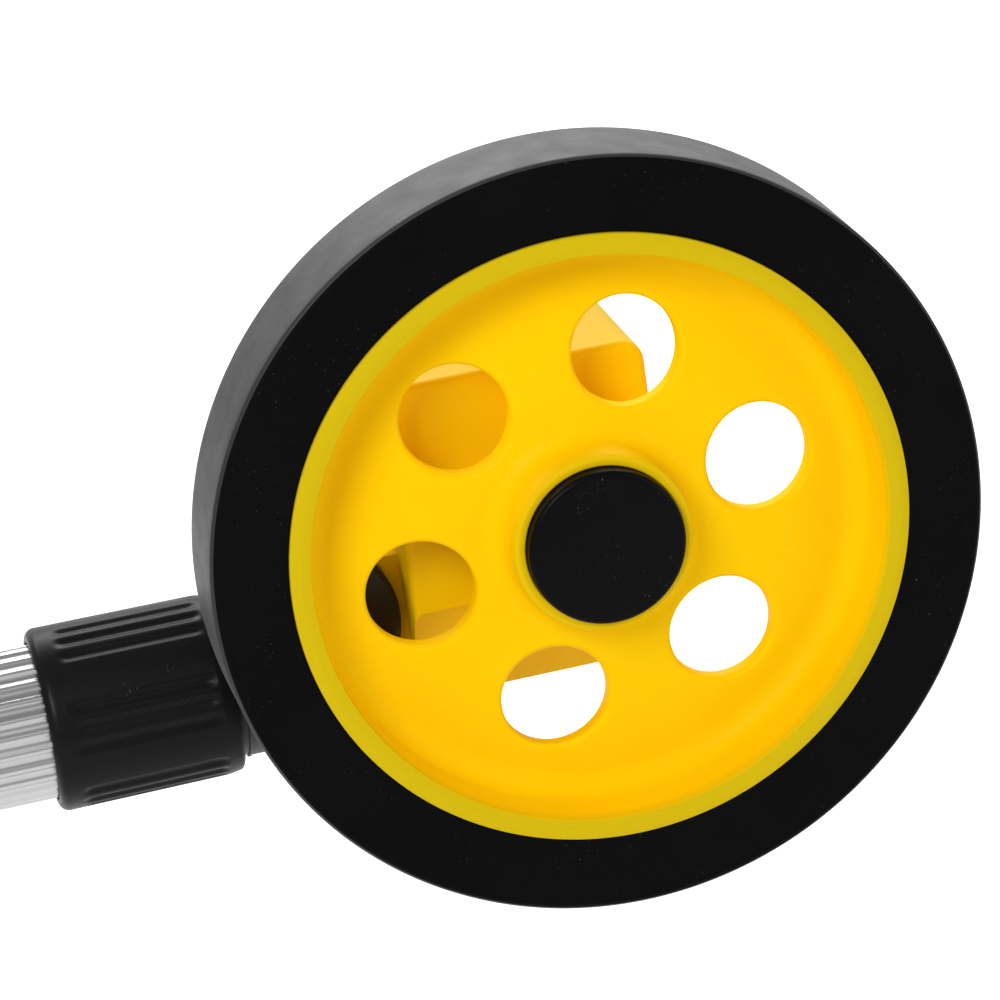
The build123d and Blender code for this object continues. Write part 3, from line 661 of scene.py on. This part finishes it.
def add_rib(shape, turn, start, end, top):
    """Rib along a radius on the hub's back, with a rounded edge, its foot and its ends inside the walls."""
    along = Vector((math.cos(turn), 0, math.sin(turn)))
    side = Vector((-math.sin(turn), 0, math.cos(turn)))
    origin = Vector((axle_x, wheel_face, axle_z))
    rows = []
    for radius in (start, end):
        base = web_line(radius) + WEB_THICKNESS / 2
        corners = [
            (-RIB_HALF, base, 0),
            (-RIB_HALF, top, RIB_ROUNDING),
            (RIB_HALF, top, RIB_ROUNDING),
            (RIB_HALF, base, 0),
        ]
        section = rounded(corners, 4)
        rows.append([origin + along * radius + side * s + Vector((0, depth, 0)) for s, depth in section])
    shape.grid(rows, close_columns=True)
    count = len(section)
    last = len(shape.points)
    shape.faces.append(tuple(range(last - count, last)))
    shape.faces.append(tuple(range(last - count - 1, last - 2 * count - 1, -1)))


for rib in range(HOLES):
    rib_turn = HOLE_PHASE + (rib + 0.5) * 2 * math.pi / HOLES
    add_rib(hub, rib_turn, REAR_BOSS - 0.4, LIP_INNER - 0.6, hub_width - RIB_SETBACK)
finish_node(hub, "wheel_hub", sharp=30.0)

# ---- Cap ----

CROWN = 0.32
CAP_EDGE = 1.15
CAP_WALL = 1.6
CAP_TOP = 1.9
CAP_STEPS = 24
cap_top = [
    (cap_radius * k / CAP_STEPS, -cap_proud + CROWN * (k / CAP_STEPS) ** 2) for k in range(CAP_STEPS - 2)
]
cap_edge = rounded(
    [
        (cap_radius * 0.9, -cap_proud + CROWN * 0.81, 0),
        (cap_radius, -cap_proud + CROWN + 0.05, CAP_EDGE),
        (cap_radius, CAP_SEAT, 0),
        (cap_radius - CAP_WALL, CAP_SEAT, 0),
        (cap_radius - CAP_WALL, -cap_proud + CAP_TOP, 0.5),
        (0, -cap_proud + CAP_TOP, 0),
    ],
    8,
    closed=False,
)
cap = Shape()
cap.lathe(cap_top + cap_edge[1:], 240, on_wheel, closed=False)
finish_node(cap, "hub_cap")

# ---- Ribbed collar and lock nuts ----


GROOVED_LAYER = 0.9
COLLAR_BORE = 17.5
COLLAR_MOUTH = 16.7
COLLAR_MOUTH_DEPTH = 3.5
COLLAR_TAPER = 0.24
COLLAR_END_DROP = 0.75
COLLAR_END_LENGTH = 3.4
COLLAR_GROUPS = 6
GROUP_PHASE = 12.0
GROOVE_SPACING = 12.3
NUT_MOUTH_DEPTH = 3
NUT_EDGE = 1.4
NUT_GROOVES = 20


def ribbed(node, outline, segments, grooves, half, depth, ends):
    """Turned part on the pole with soft lengthwise grooves in its outside.

    The ends are the places where the grooves start and stop, and the length over which they fade there.
    """
    outside = max(r for r, _ in outline)
    start, end, fade = ends

    def place(radius, along, turn):
        if radius > outside - GROOVED_LAYER:
            reach = smooth((along - start) / fade) * smooth((end - along) / fade)
            if reach > 0:
                cut = 0.0
                for groove in grooves:
                    away = (turn - groove + math.pi) % (2 * math.pi) - math.pi
                    arc = abs(away) * radius / half
                    if arc < 1:
                        cut = max(cut, 0.5 + 0.5 * math.cos(math.pi * arc))
                radius -= depth * cut * reach
        return on_pole(radius, along, turn)

    shape = Shape()
    shape.lathe(outline, segments, place)
    return finish_node(shape, node, sharp=50.0)


def stretches(outline, step):
    """Outline with the long runs of its outside divided into steps."""
    outside = max(r for r, _ in outline) - 1.0
    points = []
    for i, (r, along) in enumerate(outline):
        next_r, next_along = outline[(i + 1) % len(outline)]
        run = abs(next_along - along)
        points.append((r, along))
        if run > 6 * step and min(r, next_r) > outside:
            count = math.ceil(run / step)
            shares = [k / count for k in range(1, count)]
            points += [(lerp(r, next_r, share), lerp(along, next_along, share)) for share in shares]
    return points


collar_low, collar_high = span("socket_collar")
left, right, bulk = collar_low.x, collar_high.x, collar_high.z
collar_corners = [
    (COLLAR_MOUTH, left, 0.3),
    (bulk - 0.01, left, 2.1),
    (bulk - COLLAR_TAPER, left + (right - left - COLLAR_END_LENGTH), 5.0),
    (bulk - COLLAR_END_DROP, left + (right - left), 1.1),
    (COLLAR_BORE, left + (right - left), 0.3),
    (COLLAR_BORE, left + COLLAR_MOUTH_DEPTH, 0),
    (COLLAR_MOUTH, left + COLLAR_MOUTH_DEPTH, 0),
]
collar_grooves = [
    math.radians(GROUP_PHASE + group * 360 / COLLAR_GROUPS + step * GROOVE_SPACING)
    for group in range(COLLAR_GROUPS)
    for step in (-1, 0, 1)
]
ribbed(
    "socket_collar",
    stretches(rounded(collar_corners, 7), 0.6),
    900,
    collar_grooves,
    half=1.9,
    depth=0.58,
    ends=(left + 4.4, right - 3.0, 2.6),
)

for nut, bore, mouth in (("lower_lock_nut", 17.7, 14.2), ("upper_lock_nut", 15.05, 12.2)):
    nut_low, nut_high = span(nut)
    left, right, bulk = nut_low.x, nut_high.x, nut_high.z
    nut_corners = [
        (mouth, left, 0.3),
        (bulk, left, NUT_EDGE),
        (bulk, right, NUT_EDGE),
        (bore, right, 0.3),
        (bore, left + NUT_MOUTH_DEPTH, 0),
        (mouth, left + NUT_MOUTH_DEPTH, 0),
    ]
    ribbed(
        nut,
        stretches(rounded(nut_corners, 7), 0.7),
        800,
        [math.radians(360 / NUT_GROOVES * k) for k in range(NUT_GROOVES)],
        half=1.3,
        depth=0.7,
        ends=(left + 4.0, right - 3.0, 2.2),
    )

# ---- Fluted tubes ----

FLUTES = 28
POINTS_PER_FLUTE = 14
FLUTE_HALF = 0.39
TUBE_STEPS = 12
TUBE_EDGE = 0.25


def fluted(node, bore, depth):
    """Tube whose outside has scalloped flutes with narrow rounded lands."""
    low, high = span(node)
    radius = high.z

    def place(r, along, turn):
        if r > bore + 0.2:
            phase = (turn * FLUTES / (2 * math.pi)) % 1.0
            off = abs(phase - 0.5) / FLUTE_HALF
            if off < 1:
                r -= depth * (1 - off**2.2)
        return on_pole(r, along, turn)

    start, end = low.x + TUBE_EDGE, high.x - TUBE_EDGE
    outline = [(bore, low.x), (bore + 0.1, low.x), (radius - TUBE_EDGE, low.x)]
    outline += [(radius, lerp(start, end, k / TUBE_STEPS)) for k in range(TUBE_STEPS)]
    outline += [(radius, end), (radius - TUBE_EDGE, high.x), (bore + 0.1, high.x), (bore, high.x)]
    shape = Shape()
    shape.lathe(outline, FLUTES * POINTS_PER_FLUTE, place)
    return finish_node(shape, node, sharp=48.0)


fluted("lower_tube", 14.4, 0.62)
fluted("middle_tube", 12.1, 0.5)
fluted("upper_tube", 10.2, 0.45)

# ---- Hand grip ----

GRIP_BORE = 13.2
GRIP_WAVES = 5
GRIP_STEPS = 260
WAVE_MIDDLE = 0.62
WAVE_HEIGHT = 0.6
CREST_PHASE = 0.3
VALLEY_PHASE = 0.8
VALLEY_LINES = (0.0, 2.0, 4.0)
VALLEY_LINE_DEPTH = 0.34
VALLEY_LINE_HALF = 0.42
CREST_LINES = 36
CREST_LINE_DEPTH = 0.32
CREST_LINE_HALF = 0.13
grip_low, grip_high = span("grip_sleeve")
left, right, bulk = grip_low.x, grip_high.x, grip_high.z
grip_outline = [(GRIP_BORE, left), (bulk - 1.6, left), (bulk - 0.9, left + 0.35), (bulk - 0.65, left + 1.2)]
for k in range(6, GRIP_STEPS - 2):
    along = lerp(left, right, k / GRIP_STEPS)
    phase = (along - left) / (right - left) * GRIP_WAVES
    wave = bulk - WAVE_MIDDLE + WAVE_HEIGHT * math.cos(2 * math.pi * (phase - CREST_PHASE))
    valley = (phase - VALLEY_PHASE) % 1.0
    valley = min(valley, 1 - valley) * (right - left) / GRIP_WAVES
    for line in VALLEY_LINES:
        wave -= VALLEY_LINE_DEPTH * math.exp(-(((valley - line) / VALLEY_LINE_HALF) ** 2))
    grip_outline.append((wave, along))
grip_outline += [(bulk - 0.7, right - 0.5), (bulk - 1.1, right), (GRIP_BORE, right)]


def grip_point(radius, along, turn):
    """Point of the grip, with shallow lengthwise lines on its crests."""
    if radius > bulk - 1.0:
        phase = (along - left) / (right - left) * GRIP_WAVES
        crest = smooth((math.cos(2 * math.pi * (phase - CREST_PHASE)) - 0.35) / 0.3)
        line = (turn * CREST_LINES / (2 * math.pi)) % 1.0
        radius -= CREST_LINE_DEPTH * crest * math.exp(-(((line - 0.5) / CREST_LINE_HALF) ** 2))
    return on_pole(radius, along, turn)


grip = Shape()
grip.lathe(grip_outline, 504, grip_point)
finish_node(grip, "grip_sleeve", sharp=60.0)

# ---- Soft edges on the moulded pieces that keep their CAD shape ----


def softened(node, width, angle=32.0, segments=3):
    """Copy of a CAD node with its sharp edges rounded, which stands for it."""
    source = nodes[node].data
    work = bmesh.new()
    work.from_mesh(source)
    bmesh.ops.remove_doubles(work, verts=work.verts, dist=2e-6)
    bmesh.ops.dissolve_limit(
        work, angle_limit=math.radians(0.5), verts=work.verts, edges=work.edges
    )
    mesh = bpy.data.meshes.new(node + "_skin")
    work.to_mesh(mesh)
    work.free()
    mesh.materials.clear()
    piece = place_piece(
        mesh, node + "_skin", body_of[node], looks[slots[node]], slots[node], (node,), angle
    )
    bevel = piece.modifiers.new("edges", "BEVEL")
    bevel.width = width * MM
    bevel.segments = segments
    bevel.limit_method = "ANGLE"
    bevel.angle_limit = math.radians(angle)
    bevel.use_clamp_overlap = True
    bevel.harden_normals = True
    return piece


for node, width in (
    ("front_shell", 0.3),
    ("rear_shell", 0.3),
    ("pole_socket", 0.3),
    ("hinge_knob", 0.25),
    ("window_bezel", 0.15),
    ("reset_button", 0.15),
    ("grip_end_cap", 0.25),
    ("grip_core", 0.25),
    ("housing_screws", 0.08),
    ("hinge_cap", 0.15),
):
    softened(node, width)

# ---- Reset spring, copied from its CAD mesh ----

spring_mesh = nodes["reset_spring"].data.copy()
spring_mesh.materials.clear()
spring = place_piece(
    spring_mesh,
    "reset_spring_skin",
    body_of["reset_spring"],
    looks[slots["reset_spring"]],
    slots["reset_spring"],
    ("reset_spring",),
)
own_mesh(spring)

# ---- Digits on the counter's drums ----

DIGIT_HEIGHT = 4.6
DIGIT_WIDTH = 2.9
DIGIT_LIFT = 0.04
DIGIT_ROOT = -0.05
NARROW_ONE = 0.45
DRUM_GEAR = 3.6
DRUM_RADIUS = 9.9


def digit_mesh(text):
    """Flat outline of a digit as a fine mesh, centred on its own origin."""
    curve = bpy.data.curves.new("digit", "FONT")
    curve.body = text
    curve.resolution_u = 6
    holder = bpy.data.objects.new("digit", curve)
    bpy.context.scene.collection.objects.link(holder)
    bpy.context.view_layer.update()
    graph = bpy.context.evaluated_depsgraph_get()
    mesh = bpy.data.meshes.new_from_object(holder.evaluated_get(graph))
    bpy.data.objects.remove(holder)
    points = [v.co.copy() for v in mesh.vertices]
    faces = [tuple(p.vertices) for p in mesh.polygons]
    bpy.data.meshes.remove(mesh)
    low = Vector((min(p.x for p in points), min(p.y for p in points)))
    high = Vector((max(p.x for p in points), max(p.y for p in points)))
    size = high - low
    width = DIGIT_WIDTH * (NARROW_ONE if text == "1" else 1.0)
    flat = []
    for p in points:
        across = (p.x - low.x) / size.x * width - width / 2
        upright = ((p.y - low.y) / size.y - 0.5) * DIGIT_HEIGHT
        flat.append((across, upright))
    return flat, faces


digits = {str(k): digit_mesh(str(k)) for k in range(10)}


def drum_digits(place):
    """The ten digits round one drum, each a thin raised film. At rest its 0 faces the window."""
    node = f"digit_drum_{place}"
    low, high = span(node)
    centre_x, centre_z = (low.x + high.x) / 2, (low.z + high.z) / 2
    gear_side = high.y - DRUM_GEAR
    middle_y = (gear_side + high.y) / 2
    shape = Shape()
    for digit in range(10):
        flat, faces = digits[str(digit)]
        turn = -digit * math.radians(36)
        first = len(shape.points)
        for lift in (DIGIT_LIFT, DIGIT_ROOT):
            radius = DRUM_RADIUS + lift
            for across, upright in flat:
                angle = turn + upright / DRUM_RADIUS
                x = centre_x - radius * math.cos(angle)
                z = centre_z + radius * math.sin(angle)
                shape.points.append(Vector((x, middle_y - across, z)))
        count = len(flat)
        edges = {}
        for face in faces:
            shape.faces.append(tuple(first + i for i in face))
            shape.faces.append(tuple(first + count + i for i in reversed(face)))
            for a, b in zip(face, face[1:] + face[:1]):
                key = (min(a, b), max(a, b))
                edges[key] = edges.get(key, 0) + 1
        for (a, b), uses in edges.items():
            if uses == 1:
                shape.faces.append((first + a, first + b, first + count + b, first + count + a))
    return shape.finish(f"digits_{place}", body_of[node], looks["digit_white"], slots[node])


for place in range(1, 6):
    drum_digits(place)

# ---- Floor, light and camera ----

FLOOR = -0.25
LIGHTS = (
    # name, place and target from the wheel's middle in metres, size in metres, watts
    ("key", (-0.65, -0.95, 0.8), (0, 0, 0), (0.55, 0.55), 12.3),
    ("fill", (1.1, -0.8, 0.35), (0, 0, 0), (0.8, 0.8), 3.7),
    ("back", (0.1, 1.35, 1.0), (0.1, 1.15, -0.28), (2.0, 1.0), 36.0),
    ("backdrop", (0.0, 2.4, 0.35), (0, 0, 0.1), (3.2, 0.9), 8.0),
)
SKY_STRENGTH = 0.34
SENSOR = 36.0
LENS = 168.2
CAMERA_PLACE = Vector((-0.17562, -0.8562, 0.3289))
CAMERA_SHIFT = (-0.0001, 0.00025)
CAMERA_BACKWARDS = Vector((-0.16859, -0.924745, 0.34121))
CAMERA_UP_HINT = Vector((0.13987, 0.0, 0.99017))


def stage_floor():
    """Plain pale floor."""
    work = bmesh.new()
    bmesh.ops.create_grid(work, x_segments=4, y_segments=4, size=5.0)
    mesh = bpy.data.meshes.new("floor")
    work.to_mesh(mesh)
    work.free()
    floor = bpy.data.objects.new("floor", mesh)
    floor.location.z = FLOOR
    bpy.context.scene.collection.objects.link(floor)
    m = Nodes("floor_paper")
    m.link(m.mix(m.noise(1.2, 2.0), (0.93, 0.93, 0.93), (0.9, 0.9, 0.9)), m.shader.inputs["Base Color"])
    m.link(m.range(m.noise(300.0), 0.2, 0.8, 0.8, 0.95), m.shader.inputs["Roughness"])
    m.shader.inputs["Specular IOR Level"].default_value = 0.0
    m.bump([(m.noise(900.0, 2.0), 3e-5)])
    mesh.materials.append(m.material)


def area_light(name, place, target, size, power):
    """Soft white rectangular light that faces a point."""
    light = bpy.data.lights.new(name, "AREA")
    light.shape = "RECTANGLE"
    light.size, light.size_y = size
    light.energy = power
    lamp = bpy.data.objects.new(name, light)
    lamp.location = place
    lamp.rotation_euler = (Vector(target) - Vector(place)).to_track_quat("-Z", "Y").to_euler()
    bpy.context.scene.collection.objects.link(lamp)


stage_floor()
wheel_middle = on_wheel(0, 0, 0) * MM
for name, place, target, size, power in LIGHTS:
    area_light(name, wheel_middle + Vector(place), wheel_middle + Vector(target), size, power)

world = bpy.data.worlds.new("studio")
world.use_nodes = True
sky = world.node_tree.nodes["Background"]
sky.inputs["Color"].default_value = (1.0, 1.0, 1.0, 1.0)
sky.inputs["Strength"].default_value = SKY_STRENGTH
bpy.context.scene.world = world

view = bpy.context.scene.view_settings
view.view_transform = "Standard"
view.look = "None"
view.exposure = 0.0
view.gamma = 1.0

camera_data = bpy.data.cameras.new("camera")
camera_data.sensor_width = SENSOR
camera_data.lens = LENS
camera_data.clip_start = 0.01
camera = bpy.data.objects.new("camera", camera_data)
backwards = CAMERA_BACKWARDS.normalized()
sideways = CAMERA_UP_HINT.cross(backwards).normalized()
upwards = backwards.cross(sideways)
turned = Matrix((sideways, upwards, backwards)).transposed()
stand = wheel_middle + CAMERA_PLACE + sideways * CAMERA_SHIFT[0] + upwards * CAMERA_SHIFT[1]
camera.matrix_world = Matrix.Translation(stand) @ turned.to_4x4()
bpy.context.scene.collection.objects.link(camera)
bpy.context.scene.camera = camera
